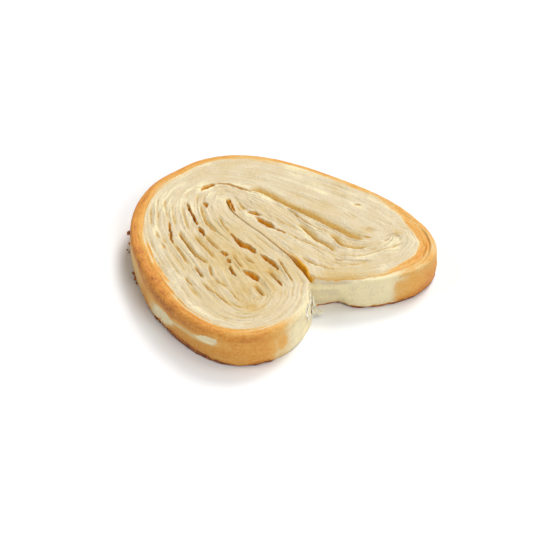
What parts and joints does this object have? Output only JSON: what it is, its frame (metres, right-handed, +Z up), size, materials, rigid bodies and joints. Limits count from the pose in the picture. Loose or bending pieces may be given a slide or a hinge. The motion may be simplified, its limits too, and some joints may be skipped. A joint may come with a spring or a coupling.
{
  "type": "palmier pastry",
  "caption": "Flat heart-shaped puff pastry slice with rolled flaky layers, a browned rounded crust and an open notch between its lobes.",
  "frame": {"origin": "on the surface it rests on, under the middle of the outline's box", "axes": "+Z up through the thickness, +Y from the notch to the round back of the heart, +X towards the right-hand lobe"},
  "size_m": [0.1062, 0.1055, 0.0146],
  "materials": {
    "pastry": "dry baked puff pastry, pale flaky layers with a golden brown crust"
  },
  "bodies": {
    "root": {"palmier": "pastry"}
  },
  "joints": []
}
